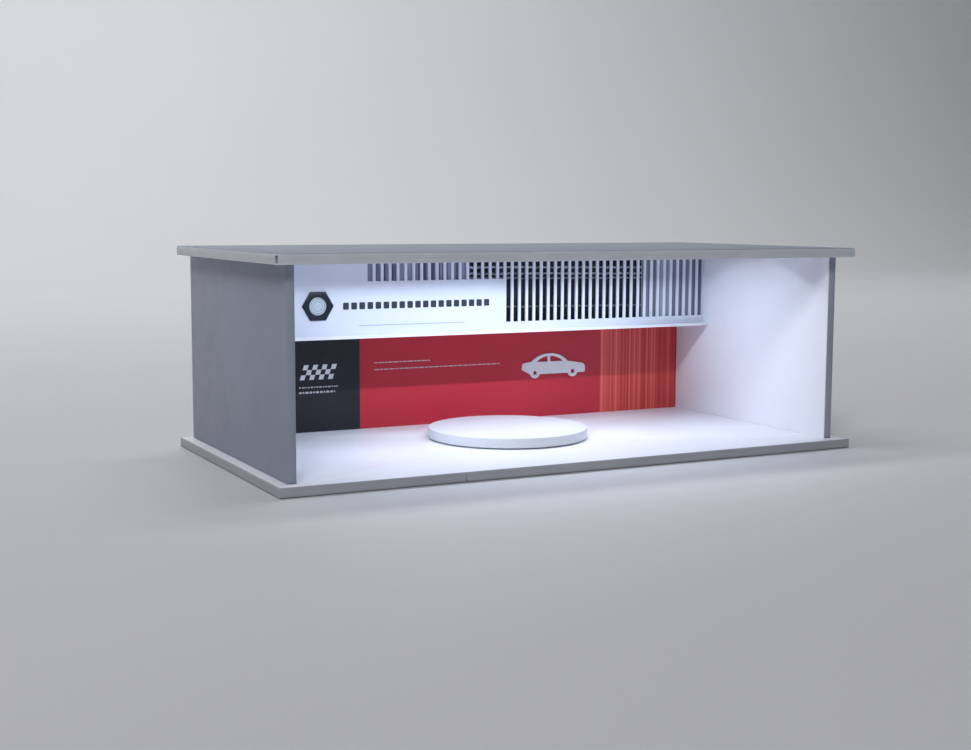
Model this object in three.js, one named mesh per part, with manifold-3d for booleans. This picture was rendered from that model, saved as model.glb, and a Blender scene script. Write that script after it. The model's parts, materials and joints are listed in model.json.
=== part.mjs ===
// A lit display stand for small die-cast cars. A floor board and a roof board are held apart by two side walls
// and a back wall, all let into shallow grooves. A slatted fascia hangs under the roof in front of the back
// wall and hides the wiring, an LED strip lights the bay, and a disc on a ball bearing turns by hand in the floor.
//
// Millimetres, +Z up, -Y is the open front. The origin is the middle of the underside.

import * as THREE from "three";
import { mergeVertices } from "three/addons/utils/BufferGeometryUtils.js";
import Module from "manifold-3d";

const wasm = await Module();
wasm.setup();

// ---- Driving dimensions -------------------------------------------------------------------------------------

const WIDTH = 300;
const DEPTH = 150;
const HEIGHT = 100;

const BOARD = 4; // foam board of the case
const LINER = 0.5; // white sheet on the inner faces
const LEFT_SETBACK = 1.5; // the left wall's sheet stops this far short of the wall's front edge
const BAND = 0.5; // edge banding round the floor and roof boards
const BAND_LIFT = 0.25; // the banding stops this far short of a board's outer face
const ROOF_SEAM = { width: 2, depth: 2.5, chip: 0.75, below: 0.75 }; // open joint of the roof's banding
const BASE_SEAM = { x: -64.6, gap: 0.15, nick: 1, nickHeight: 0.9 }; // closed joint of the base's banding

const GROOVE = 2; // how deep the walls are let into the floor and roof boards
const CLEAR = 0.125; // clearance beside a board in its groove
const GROOVE_OVERRUN = 0.5; // how far a groove runs past the front of its wall

const WALL_OUTER = WIDTH / 2 - 6;
const WALL_INNER = WALL_OUTER - BOARD;
const WALL_FRONT = -DEPTH / 2 + 7;
const WALL_REAR = DEPTH / 2 - 2;
const FLOOR = BOARD + LINER;
const CEILING = HEIGHT - BOARD - LINER;
const BAY_SIDE = WALL_INNER - LINER;

const BACKDROP_FACE = 62.5;
const BACKDROP_TOP = 58;
const BACK_WALL_FRONT = BACKDROP_FACE + LINER;
const BACK_WALL_REAR = BACK_WALL_FRONT + BOARD;

const SOFFIT_FRONT = 32; // the soffit closes the fascia from below and stands out in front of it
const SOFFIT_BOTTOM = 54.5;
const SOFFIT = 1.5;
const FASCIA_FACE = 37;
const FASCIA_BOTTOM = SOFFIT_BOTTOM + SOFFIT;
const FASCIA_SHEET = 1; // slatted sheet
const FASCIA_FILM = 0.25; // printed film behind the slots
const FASCIA_BACKING = 3;
const FILM_FACE = FASCIA_FACE + FASCIA_SHEET;
const BACKING_FACE = FILM_FACE + FASCIA_FILM;

const SLOT_PITCH = 4.35;
const SLOT_WIDTH = 2.8;
const SLOT_FIRST = -62.9; // middle of the leftmost slot
const SHORT_SLOTS = 18; // slots that stop above the sign field
const TALL_SLOTS = 29;
const SHORT_SLOT_BOTTOM = 82.5;
const TALL_SLOT_BOTTOM = 59.9;
const SLOT_TOP = 93.75;

const TAB_BOTTOMS = [60, 80]; // the backing board's tabs, on each side
const TAB_HEIGHT = 8;
const TAB_REACH = 2; // how far a tab stands out past the board's edge
const NOTCH = { left: 132.75, right: 137.75, bottom: 93.5 }; // lets the LED leads past the fascia

const DISC_RADIUS = 40;
const DISC_THICKNESS = 5;
const DISC_GAP = 0.5; // air under the disc
const TURNTABLE_X = -2;
const TURNTABLE_Y = 5;

const BEARING_WIDTH = 3.5;
const BEARING_OUTER = 10.5;
const BEARING_BORE = 7.5;
const BALL_CIRCLE = 9;
const BALL_RADIUS = 0.75;
const BALL_COUNT = 10;
const RACE_RADIUS = 0.82; // groove section in both rings
const OUTER_LAND = 9.45; // inside radius of the outer ring
const INNER_LAND = 8.55; // outside radius of the inner ring

const LED_COUNT = 12;
const LED_PITCH = 50 / 3; // 60 to the metre
const LED_Y = -12.5;
const LED_BOARD = { length: LED_COUNT * LED_PITCH, width: 8, thickness: 1 };
const LED_GROOVE = { left: -101, width: 8.25, top: HEIGHT - 1 }; // in the roof, open towards the right wall
const LED_CHIP = { length: 3.5, width: 2.75, thickness: 0.75 };

const LEAD_RADIUS = 0.6;
const LEAD_X = { positive: 134.25, negative: 136.25 }; // along the right wall
const LEAD_PAD = { inset: 1.75, offset: 1.75 }; // from the LED board's end, and to each side of its middle
const CLIP_PLACES = [12, 27];

const JACK_X = 112;
const JACK_Z = 76;

const CAR_WHEEL = { radius: 3, height: 3, places: [8.5, 32.5] }; // of the car on the backdrop

const FINE = 72; // sides of the turntable disc
const ROUND = 48; // sides of the bearing, its seat and the hub
const COARSE = 24; // sides of small turned pieces

// ---- Materials ----------------------------------------------------------------------------------------------

const plastic = (color, roughness = 0.55) => new THREE.MeshStandardMaterial({ color, roughness, metalness: 0 });
const metal = (color, roughness = 0.3) => new THREE.MeshStandardMaterial({ color, roughness, metalness: 1 });

const MATERIALS = {
  board: plastic(0x8d929c),
  band: plastic(0x9a9c9f),
  liner: plastic(0xf1f2f8, 0.5),
  backdrop: plastic(0xb2344a, 0.4),
  film: plastic(0x14161c, 0.35),
  badgeDark: plastic(0x17202a, 0.35),
  badgeWhite: plastic(0xf2f2f6, 0.35),
  disc: plastic(0xf5f6fa, 0.45),
  hub: metal(0xc3c6ca, 0.35),
  steel: metal(0xb9bcc0, 0.22),
  cage: metal(0xc8a25a, 0.35),
  ledBoard: plastic(0xf4f4f0, 0.4),
  ledChip: plastic(0xfff3c4, 0.3),
  leadRed: plastic(0xb3201c, 0.4),
  leadBlack: plastic(0x17171a, 0.4),
  clip: plastic(0xe9e9ea, 0.4),
  jack: plastic(0x1b1b1d, 0.35),
  jackMetal: metal(0xd0cfc8, 0.25),
};

// ---- Helpers ------------------------------------------------------------------------------------------------

function toSolid(geometry) {
  const bare = geometry.clone();
  bare.deleteAttribute("normal");
  bare.deleteAttribute("uv");
  const merged = mergeVertices(bare);
  const vertProperties = merged.attributes.position.array;
  const triVerts = new Uint32Array(merged.index.array);
  return new wasm.Manifold(new wasm.Mesh({ numProp: 3, vertProperties, triVerts }));
}

function toGeometry(solid) {
  const { vertProperties, triVerts } = solid.getMesh();
  const geometry = new THREE.BufferGeometry();
  geometry.setAttribute("position", new THREE.BufferAttribute(vertProperties, 3));
  geometry.setIndex(new THREE.BufferAttribute(triVerts, 1));
  geometry.computeVertexNormals();
  return geometry;
}

function cut(geometry, cutters) {
  let solid = toSolid(geometry);
  for (const cutter of cutters) solid = solid.subtract(toSolid(cutter));
  return toGeometry(solid);
}

// A box by its limits along each axis, which may be given in either order.
function limits([x0, x1], [y0, y1], [z0, z1]) {
  const corners = [new THREE.Vector3(x0, y0, z0), new THREE.Vector3(x1, y1, z1)];
  return new THREE.Box3().setFromPoints(corners);
}

function boxGeometry(box) {
  const size = box.getSize(new THREE.Vector3());
  return new THREE.BoxGeometry(size.x, size.y, size.z);
}

function placed(name, geometry, material, position = [0, 0, 0]) {
  const mesh = new THREE.Mesh(geometry, material);
  mesh.name = name;
  mesh.position.set(...position);
  return mesh;
}

// A rectangular piece with its own middle as origin, less the boxes and the geometries cut from it. All of
// them are given in the frame of the group that the piece goes into.
function panel(name, box, material, cutBoxes = [], cutGeometries = []) {
  const centre = box.getCenter(new THREE.Vector3());
  const boxes = cutBoxes.map((b) => boxGeometry(b).translate(...b.getCenter(new THREE.Vector3())));
  const cutters = [...boxes, ...cutGeometries].map((g) => g.translate(-centre.x, -centre.y, -centre.z));
  const whole = boxGeometry(box);
  return placed(name, cutters.length ? cut(whole, cutters) : whole, material, centre.toArray());
}

// A piece turned about Z from its profile of [radius, height] points.
function turned(profile, sides) {
  const points = profile.map(([radius, height]) => new THREE.Vector2(radius, height));
  return new THREE.LatheGeometry(points, sides).rotateX(Math.PI / 2);
}

function cylinder(radius, bottom, top, sides, x = 0, y = 0) {
  const upright = new THREE.CylinderGeometry(radius, radius, top - bottom, sides).rotateX(Math.PI / 2);
  return upright.translate(x, y, (bottom + top) / 2);
}

// An upright sheet: its outline is drawn in X and Z, and it reaches from y = 0 back to y = thickness.
function uprightSheet(shape, thickness, curveSegments = 8) {
  const options = { depth: thickness, bevelEnabled: false, curveSegments };
  return new THREE.ExtrudeGeometry(shape, options).rotateX(Math.PI / 2).translate(0, thickness, 0);
}

function rectangle(left, right, bottom, top) {
  const shape = new THREE.Shape();
  shape.moveTo(left, bottom).lineTo(right, bottom).lineTo(right, top).lineTo(left, top);
  shape.closePath();
  return shape;
}

// ---- Case ---------------------------------------------------------------------------------------------------

// The grooves for the three walls, between two heights.
function wallGrooves(low, high) {
  const sides = [-1, 1].map((side) =>
    limits(
      [side * (WALL_INNER - CLEAR), side * (WALL_OUTER + CLEAR)],
      [WALL_FRONT - GROOVE_OVERRUN, WALL_REAR + CLEAR],
      [low, high],
    ),
  );
  const back = limits([-WALL_INNER, WALL_INNER], [BACK_WALL_FRONT - CLEAR, BACK_WALL_REAR + CLEAR], [low, high]);
  return [...sides, back];
}

const plan = (inset) => [
  [-WIDTH / 2 + inset, WIDTH / 2 - inset],
  [-DEPTH / 2 + inset, DEPTH / 2 - inset],
];

// The bearing's seat, open above, with a lip below that only the outer ring rests on.
function bearingSeat() {
  const seatRadius = BEARING_OUTER + 0.1;
  const lipRadius = OUTER_LAND - 0.2;
  return [
    cylinder(seatRadius, FLOOR - BEARING_WIDTH, FLOOR + 1, ROUND, TURNTABLE_X, TURNTABLE_Y),
    cylinder(lipRadius, -1, FLOOR, ROUND, TURNTABLE_X, TURNTABLE_Y),
  ];
}

function baseBoard() {
  const box = limits(...plan(BAND), [0, BOARD]);
  return panel("base_board", box, MATERIALS.board, wallGrooves(BOARD - GROOVE, BOARD + 1), bearingSeat());
}

function roofBoard() {
  const box = limits(...plan(BAND), [HEIGHT - BOARD, HEIGHT]);
  const grooves = wallGrooves(HEIGHT - BOARD - 1, HEIGHT - BOARD + GROOVE);
  return panel("roof_board", box, MATERIALS.board, [...grooves, ...roofSeam(), ledGroove()]);
}

function floorLiner() {
  const box = limits(...plan(BAND), [BOARD, FLOOR]);
  return panel("floor_liner", box, MATERIALS.liner, wallGrooves(BOARD - 1, FLOOR + 1), bearingSeat());
}

function ceilingLiner() {
  const box = limits(...plan(BAND), [CEILING, HEIGHT - BOARD]);
  const grooves = wallGrooves(CEILING - 1, HEIGHT - BOARD + 1);
  return panel("ceiling_liner", box, MATERIALS.liner, [...grooves, ledGroove()]);
}

// The groove that the LED strip and its leads lie in. Its sides cut off the light that would glare outwards.
function ledGroove() {
  const halfWidth = LED_GROOVE.width / 2;
  return limits(
    [LED_GROOVE.left, WALL_INNER],
    [LED_Y - halfWidth, LED_Y + halfWidth],
    [CEILING - 1, LED_GROOVE.top],
  );
}

// One strip of banding round a board and its white sheet, less the boxes cut from it at its joint.
function edgeBand(name, low, high, cutBoxes) {
  const outer = limits(...plan(0), [low, high]);
  const inner = limits(...plan(BAND), [low - 1, high + 1]);
  return panel(name, outer, MATERIALS.band, [inner, ...cutBoxes]);
}

// The base's banding meets in a hairline on the front edge, with a nick in its lower corner.
function baseEdgeBand() {
  const front = [-DEPTH / 2 - 1, -DEPTH / 2 + BAND];
  const across = (width) => [BASE_SEAM.x - width / 2, BASE_SEAM.x + width / 2];
  const hairline = limits(across(BASE_SEAM.gap), front, [0, FLOOR + 1]);
  const nick = limits(across(BASE_SEAM.nick), front, [0, BAND_LIFT + BASE_SEAM.nickHeight]);
  return edgeBand("base_edge_band", BAND_LIFT, FLOOR, [hairline, nick]);
}

// The roof's banding meets in an open joint on the left side at the front corner, where the board is chipped too.
function roofSeam() {
  const [left, front] = [-WIDTH / 2, -DEPTH / 2];
  const rear = front + BAND + ROOF_SEAM.width;
  const height = [CEILING - 1, HEIGHT - ROOF_SEAM.below];
  const gap = limits([left - 1, left + ROOF_SEAM.depth], [front + BAND, rear], height);
  const chip = limits([left - 1, left + ROOF_SEAM.chip], [front - 1, rear], height);
  return [gap, chip];
}

function roofEdgeBand() {
  return edgeBand("roof_edge_band", CEILING, HEIGHT - BAND_LIFT, roofSeam());
}

// The slots or pockets that the fascia's tabs go into, on one side of the bay.
function tabPockets(side) {
  const inner = BAY_SIDE - 1;
  const end = BAY_SIDE + TAB_REACH + CLEAR;
  const front = BACKING_FACE - CLEAR;
  const rear = BACKING_FACE + FASCIA_BACKING + CLEAR;
  return TAB_BOTTOMS.map((bottom) =>
    limits([side * inner, side * end], [front, rear], [bottom - CLEAR, bottom + TAB_HEIGHT + CLEAR]),
  );
}

function sideWall(name, side) {
  const height = [BOARD - GROOVE, HEIGHT - BOARD + GROOVE];
  const box = limits([side * WALL_INNER, side * WALL_OUTER], [WALL_FRONT, WALL_REAR], height);
  return panel(name, box, MATERIALS.board, tabPockets(side));
}

function sideLiner(name, side, front) {
  const box = limits([side * BAY_SIDE, side * WALL_INNER], [front, BACKDROP_FACE], [FLOOR, CEILING]);
  return panel(name, box, MATERIALS.liner, tabPockets(side));
}

function backWall() {
  const halfWidth = WALL_INNER - CLEAR;
  const height = [BOARD - GROOVE, HEIGHT - BOARD + GROOVE];
  const box = limits([-halfWidth, halfWidth], [BACK_WALL_FRONT, BACK_WALL_REAR], height);
  const jackHole = cylinder(JACK.barrel + 0.35, -BOARD, BOARD, COARSE).rotateX(Math.PI / 2);
  jackHole.translate(JACK_X, (BACK_WALL_FRONT + BACK_WALL_REAR) / 2, JACK_Z);
  return panel("back_wall", box, MATERIALS.board, [], [jackHole]);
}

function backdropPanel() {
  const halfWidth = WALL_INNER - CLEAR;
  const box = limits([-halfWidth, halfWidth], [BACKDROP_FACE, BACK_WALL_FRONT], [FLOOR, BACKDROP_TOP]);
  return panel("backdrop_panel", box, MATERIALS.backdrop);
}

// ---- Fascia -------------------------------------------------------------------------------------------------

const FASCIA_HALF = BAY_SIDE - CLEAR;

// The outline that all the layers share, with a notch for the leads in its top edge. Tabs, where there are
// any, stand out of both sides.
function fasciaOutline(bottom, tabs = []) {
  const shape = new THREE.Shape();
  shape.moveTo(-FASCIA_HALF, bottom).lineTo(FASCIA_HALF, bottom);
  for (const tab of tabs) {
    shape.lineTo(FASCIA_HALF, tab).lineTo(FASCIA_HALF + TAB_REACH, tab);
    shape.lineTo(FASCIA_HALF + TAB_REACH, tab + TAB_HEIGHT).lineTo(FASCIA_HALF, tab + TAB_HEIGHT);
  }
  shape.lineTo(FASCIA_HALF, CEILING).lineTo(NOTCH.right, CEILING).lineTo(NOTCH.right, NOTCH.bottom);
  shape.lineTo(NOTCH.left, NOTCH.bottom).lineTo(NOTCH.left, CEILING).lineTo(-FASCIA_HALF, CEILING);
  for (const tab of [...tabs].reverse()) {
    shape.lineTo(-FASCIA_HALF, tab + TAB_HEIGHT).lineTo(-FASCIA_HALF - TAB_REACH, tab + TAB_HEIGHT);
    shape.lineTo(-FASCIA_HALF - TAB_REACH, tab).lineTo(-FASCIA_HALF, tab);
  }
  shape.closePath();
  return shape;
}

function fasciaFront() {
  const slots = [];
  for (let i = 0; i < SHORT_SLOTS + TALL_SLOTS; i++) {
    const middle = SLOT_FIRST + i * SLOT_PITCH;
    const bottom = i < SHORT_SLOTS ? SHORT_SLOT_BOTTOM : TALL_SLOT_BOTTOM;
    const top = middle + SLOT_WIDTH / 2 > NOTCH.left - 1 ? NOTCH.bottom - 1 : SLOT_TOP;
    const slot = rectangle(middle - SLOT_WIDTH / 2, middle + SLOT_WIDTH / 2, bottom, top);
    slots.push(uprightSheet(slot, FASCIA_SHEET + 2).translate(0, -1, 0));
  }
  const sheet = uprightSheet(fasciaOutline(FASCIA_BOTTOM), FASCIA_SHEET);
  return placed("fascia_front", cut(sheet, slots), MATERIALS.liner, [0, FASCIA_FACE, 0]);
}

function fasciaFilm() {
  const sheet = uprightSheet(fasciaOutline(FASCIA_BOTTOM), FASCIA_FILM);
  return placed("fascia_film", sheet, MATERIALS.film, [0, FILM_FACE, 0]);
}

// A white strip that the three layers stand on, from the lip in front of them back to the backdrop.
function fasciaSoffit() {
  const height = [SOFFIT_BOTTOM, FASCIA_BOTTOM];
  const box = limits([-FASCIA_HALF, FASCIA_HALF], [SOFFIT_FRONT, BACKDROP_FACE - CLEAR], height);
  return panel("fascia_soffit", box, MATERIALS.liner);
}

function fasciaBacking() {
  const sheet = uprightSheet(fasciaOutline(FASCIA_BOTTOM, TAB_BOTTOMS), FASCIA_BACKING);
  return placed("fascia_backing", sheet, MATERIALS.board, [0, BACKING_FACE, 0]);
}

// ---- Badges -------------------------------------------------------------------------------------------------

// A plain hexagonal nut sign, glued to the sign field.
function signBadge() {
  const badge = { radius: 8.2, hole: 4.5, thickness: 0.5, x: -90.8, z: 70.8 };
  const shape = new THREE.Shape();
  for (let corner = 0; corner < 6; corner++) {
    const angle = (corner * Math.PI) / 3;
    const point = [badge.radius * Math.cos(angle), badge.radius * Math.sin(angle)];
    if (corner === 0) shape.moveTo(...point);
    else shape.lineTo(...point);
  }
  shape.closePath();
  shape.holes.push(new THREE.Path().absarc(0, 0, badge.hole, 0, 2 * Math.PI));
  const position = [badge.x, FASCIA_FACE - badge.thickness, badge.z];
  return placed("sign_badge", uprightSheet(shape, badge.thickness, 10), MATERIALS.badgeDark, position);
}

// The side view of a plain little car in units of its own, 41 long and 13.5 high, and the windows and wheel
// centres that are cut out of it.
function carOutline() {
  const sill = 2.2;
  const dip = Math.asin((CAR_WHEEL.height - sill) / CAR_WHEEL.radius);
  const shape = new THREE.Shape();
  shape.moveTo(0.8, sill);
  for (const x of CAR_WHEEL.places) {
    shape.absarc(x, CAR_WHEEL.height, CAR_WHEEL.radius, Math.PI + dip, 2 * Math.PI - dip);
  }
  shape.lineTo(40.2, sill);
  shape.quadraticCurveTo(41.4, 6.8, 38.4, 7.4);
  shape.quadraticCurveTo(33, 8.4, 29.4, 8.8);
  shape.quadraticCurveTo(24.5, 13.5, 18.5, 13.5);
  shape.quadraticCurveTo(10.5, 13.5, 6.4, 9.2);
  shape.quadraticCurveTo(2.8, 9, 0.9, 8.2);
  shape.lineTo(0.3, 5);
  shape.closePath();
  return shape;
}

function carCutouts() {
  const rearGlass = new THREE.Shape();
  rearGlass.moveTo(9.4, 9).lineTo(16.6, 9).lineTo(16.6, 12.1);
  rearGlass.quadraticCurveTo(12.4, 11.9, 9.4, 9);
  const frontGlass = new THREE.Shape();
  frontGlass.moveTo(18, 12.1).lineTo(18, 9).lineTo(26.6, 9);
  frontGlass.quadraticCurveTo(22.6, 12.1, 18, 12.1);
  const hubs = CAR_WHEEL.places.map((x) => new THREE.Shape().absarc(x, CAR_WHEEL.height, 1.2, 0, 2 * Math.PI));
  return [rearGlass, frontGlass, ...hubs];
}

function backdropBadge() {
  const badge = { thickness: 1, left: 36.7, bottom: 26 };
  const deep = 3 * badge.thickness;
  const cutters = carCutouts().map((shape) => uprightSheet(shape, deep, 6).translate(0, -badge.thickness, 0));
  const body = cut(uprightSheet(carOutline(), badge.thickness, 6), cutters);
  const position = [badge.left, BACKDROP_FACE - badge.thickness, badge.bottom];
  return placed("backdrop_badge", body, MATERIALS.badgeWhite, position);
}

// ---- Turntable ----------------------------------------------------------------------------------------------

const BEARING_BOTTOM = FLOOR - BEARING_WIDTH;
const DISC_BOTTOM = FLOOR + DISC_GAP;
const DISC_TOP = DISC_BOTTOM + DISC_THICKNESS;
const HUB = { flange: 12, flangeTop: DISC_BOTTOM + 2, shoulder: 8.2, spigot: BEARING_BORE - 0.06, bottom: 0.75 };
const SCREW = { hole: 1.65, counterbore: 3.2, seat: 2.875, head: 2.75, headBottom: 1, shank: 1.5, tip: 8.5 };

function turntableDisc() {
  const chamfer = 0.4;
  const pocket = HUB.flange + 0.1;
  const pilot = { radius: SCREW.shank + 0.05, top: SCREW.tip + 0.15 };
  const profile = [
    [0, pilot.top],
    [pilot.radius, pilot.top],
    [pilot.radius, HUB.flangeTop],
    [pocket, HUB.flangeTop],
    [pocket, DISC_BOTTOM],
    [DISC_RADIUS - chamfer, DISC_BOTTOM],
    [DISC_RADIUS, DISC_BOTTOM + chamfer],
    [DISC_RADIUS, DISC_TOP - chamfer],
    [DISC_RADIUS - chamfer, DISC_TOP],
    [0, DISC_TOP],
  ];
  return placed("turntable_disc", turned(profile, FINE), MATERIALS.disc);
}

function turntableHub() {
  const profile = [
    [SCREW.hole, SCREW.seat],
    [SCREW.counterbore, SCREW.seat],
    [SCREW.counterbore, HUB.bottom],
    [HUB.spigot, HUB.bottom],
    [HUB.spigot, FLOOR],
    [HUB.shoulder, FLOOR],
    [HUB.shoulder, DISC_BOTTOM],
    [HUB.flange, DISC_BOTTOM],
    [HUB.flange, HUB.flangeTop],
    [SCREW.hole, HUB.flangeTop],
    [SCREW.hole, SCREW.seat],
  ];
  return placed("turntable_hub", turned(profile, ROUND), MATERIALS.hub);
}

function hubScrew() {
  const cross = { length: 3.2, width: 0.7, depth: 0.9 };
  const under = SCREW.seat - 0.05;
  const profile = [
    [0, SCREW.headBottom],
    [SCREW.head - 0.5, SCREW.headBottom],
    [SCREW.head, SCREW.headBottom + 0.5],
    [SCREW.head, under],
    [SCREW.shank, under],
    [SCREW.shank, SCREW.tip - 0.4],
    [SCREW.shank - 0.4, SCREW.tip],
    [0, SCREW.tip],
  ];
  const arms = [
    [cross.length, cross.width],
    [cross.width, cross.length],
  ];
  const recess = arms.map(([x, y]) =>
    new THREE.BoxGeometry(x, y, 2 * cross.depth).translate(0, 0, SCREW.headBottom),
  );
  return placed("hub_screw", cut(turned(profile, COARSE), recess), MATERIALS.steel);
}

// The race's points, from one land to the other. The groove bulges outwards in the outer ring (sign 1) and
// inwards in the inner ring (sign -1).
function racePoints(land, sign) {
  const steps = 5;
  const middle = BEARING_BOTTOM + BEARING_WIDTH / 2;
  const mouth = Math.acos(Math.abs(land - BALL_CIRCLE) / RACE_RADIUS);
  const points = [];
  for (let i = 0; i <= steps; i++) {
    const angle = mouth * (1 - (2 * i) / steps);
    points.push([BALL_CIRCLE + sign * RACE_RADIUS * Math.cos(angle), middle + RACE_RADIUS * Math.sin(angle)]);
  }
  return points;
}

function bearingOuterRing() {
  const profile = [
    [OUTER_LAND, BEARING_BOTTOM],
    [BEARING_OUTER, BEARING_BOTTOM],
    [BEARING_OUTER, FLOOR],
    [OUTER_LAND, FLOOR],
    ...racePoints(OUTER_LAND, 1),
    [OUTER_LAND, BEARING_BOTTOM],
  ];
  return placed("bearing_outer_ring", turned(profile, ROUND), MATERIALS.steel);
}

function bearingInnerRing() {
  const profile = [
    [BEARING_BORE, BEARING_BOTTOM],
    [INNER_LAND, BEARING_BOTTOM],
    ...racePoints(INNER_LAND, -1).reverse(),
    [INNER_LAND, FLOOR],
    [BEARING_BORE, FLOOR],
    [BEARING_BORE, BEARING_BOTTOM],
  ];
  return placed("bearing_inner_ring", turned(profile, ROUND), MATERIALS.steel);
}

function bearingCage() {
  const section = { inner: 8.7, outer: 9.3, height: 2.5, pocket: BALL_RADIUS + 0.08 };
  const middle = BEARING_BOTTOM + BEARING_WIDTH / 2;
  const profile = [
    [section.inner, middle - section.height / 2],
    [section.outer, middle - section.height / 2],
    [section.outer, middle + section.height / 2],
    [section.inner, middle + section.height / 2],
    [section.inner, middle - section.height / 2],
  ];
  const pockets = [];
  for (let i = 0; i < BALL_COUNT; i++) {
    const bore = new THREE.CylinderGeometry(section.pocket, section.pocket, 2, 12).rotateZ(Math.PI / 2);
    pockets.push(bore.translate(BALL_CIRCLE, 0, middle).rotateZ((2 * Math.PI * i) / BALL_COUNT));
  }
  return placed("bearing_cage", cut(turned(profile, ROUND), pockets), MATERIALS.cage);
}

function bearingBalls() {
  const balls = [];
  for (let i = 0; i < BALL_COUNT; i++) {
    const angle = (2 * Math.PI * i) / BALL_COUNT;
    const height = BEARING_BOTTOM + BEARING_WIDTH / 2;
    const place = [BALL_CIRCLE * Math.cos(angle), BALL_CIRCLE * Math.sin(angle), height];
    const ball = new THREE.IcosahedronGeometry(BALL_RADIUS, 1);
    balls.push(placed(`bearing_ball_${String(i + 1).padStart(2, "0")}`, ball, MATERIALS.steel, place));
  }
  return balls;
}

// ---- Lighting -----------------------------------------------------------------------------------------------

const LED_UNDERSIDE = LED_GROOVE.top - LED_BOARD.thickness;

function ledBoard() {
  const half = { x: LED_BOARD.length / 2, y: LED_BOARD.width / 2 };
  const box = limits([-half.x, half.x], [LED_Y - half.y, LED_Y + half.y], [LED_UNDERSIDE, LED_GROOVE.top]);
  return panel("led_board", box, MATERIALS.ledBoard);
}

function ledChips() {
  const chips = [];
  for (let i = 0; i < LED_COUNT; i++) {
    const x = (i - (LED_COUNT - 1) / 2) * LED_PITCH;
    const body = new THREE.BoxGeometry(LED_CHIP.length, LED_CHIP.width, LED_CHIP.thickness);
    const place = [x, LED_Y, LED_UNDERSIDE - LED_CHIP.thickness / 2];
    chips.push(placed(`led_chip_${String(i + 1).padStart(2, "0")}`, body, MATERIALS.ledChip, place));
  }
  return chips;
}

// A lead starts on its pad at the end of the LED board, runs in the groove to the right wall and back along it
// under the ceiling, passes the fascia and comes down to its tab on the power jack.
function lead(name, x, y, fall, material) {
  const underBoard = LED_UNDERSIDE - LEAD_RADIUS - 0.05;
  const underCeiling = CEILING - LEAD_RADIUS - 0.15;
  const boardEnd = LED_BOARD.length / 2;
  const route = [
    [boardEnd - LEAD_PAD.inset, y, underBoard],
    [boardEnd + 2, y, underBoard],
    [x - 14, y, underBoard],
    [x - 8, y, underBoard - 0.3],
    [x - 3, y, underCeiling + 0.4],
    [x - 0.6, y + 1.6, underCeiling - 0.15],
    [x, y + 5, underCeiling - 0.1],
    [x, 3, underCeiling],
    [x, 12, underCeiling],
    [x, 27, underCeiling],
    [x, 43, underCeiling],
    [x, 47, underCeiling - 0.6],
    ...fall,
  ];
  const curve = new THREE.CatmullRomCurve3(route.map((point) => new THREE.Vector3(...point)));
  const section = new THREE.Shape();
  for (let i = 0; i < 8; i++) {
    const angle = (i * Math.PI) / 4;
    const point = [LEAD_RADIUS * Math.cos(angle), LEAD_RADIUS * Math.sin(angle)];
    if (i === 0) section.moveTo(...point);
    else section.lineTo(...point);
  }
  section.closePath();
  const steps = 52;
  return placed(name, new THREE.ExtrudeGeometry(section, { steps, extrudePath: curve }), material);
}

function leads() {
  const positiveFall = [
    [131, 50, 91],
    [124, 50, 85.5],
    [116.5, 48, 80.8],
    [112.6, 48.2, 79],
    [JACK_X, 50.75, JACK_Z + 2.8],
    [JACK_X, 52.75, JACK_Z + 2.8],
  ];
  const negativeFall = [
    [134.5, 49.5, 87],
    [128, 49.5, 79],
    [119, 47, 73.8],
    [113.4, 47.8, 73.1],
    [JACK_X, 50.75, JACK_Z - 2.8],
    [JACK_X, 52.75, JACK_Z - 2.8],
  ];
  return [
    lead("led_lead_positive", LEAD_X.positive, LED_Y + LEAD_PAD.offset, positiveFall, MATERIALS.leadRed),
    lead("led_lead_negative", LEAD_X.negative, LED_Y - LEAD_PAD.offset, negativeFall, MATERIALS.leadBlack),
  ];
}

// A saddle that holds both leads up to the ceiling.
function leadClip(name, y) {
  const outer = { left: 131.75, right: 138.25, bottom: CEILING - 2.25 };
  const inner = { left: 133.25, right: 137.25, bottom: CEILING - 1.5 };
  const length = 5;
  const shape = new THREE.Shape();
  shape.moveTo(outer.left, outer.bottom).lineTo(outer.right, outer.bottom).lineTo(outer.right, CEILING);
  shape.lineTo(inner.right, CEILING).lineTo(inner.right, inner.bottom).lineTo(inner.left, inner.bottom);
  shape.lineTo(inner.left, CEILING).lineTo(outer.left, CEILING);
  shape.closePath();
  return placed(name, uprightSheet(shape, length), MATERIALS.clip, [0, y - length / 2, 0]);
}

// ---- Power jack ---------------------------------------------------------------------------------------------
// It is drawn about its own axis: the back wall's rear face is z = 0 and the plug goes in from +Z.

const JACK = { barrel: 3.9, flange: 5.5, flangeTop: 2, socket: 3.15, socketFloor: -7.5, rear: -12 };

function jackBody() {
  const bevel = 0.4;
  const profile = [
    [0, JACK.rear],
    [JACK.barrel, JACK.rear],
    [JACK.barrel, 0.05],
    [JACK.flange, 0.05],
    [JACK.flange, JACK.flangeTop - bevel],
    [JACK.flange - bevel, JACK.flangeTop],
    [JACK.socket, JACK.flangeTop],
    [JACK.socket, JACK.socketFloor],
    [0, JACK.socketFloor],
  ];
  return placed("power_jack_body", turned(profile, COARSE), MATERIALS.jack);
}

function jackPin() {
  const pin = { radius: 1, bottom: JACK.socketFloor + 0.05, top: 0.5 };
  return placed("power_jack_pin", cylinder(pin.radius, pin.bottom, pin.top, 16), MATERIALS.jackMetal);
}

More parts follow.
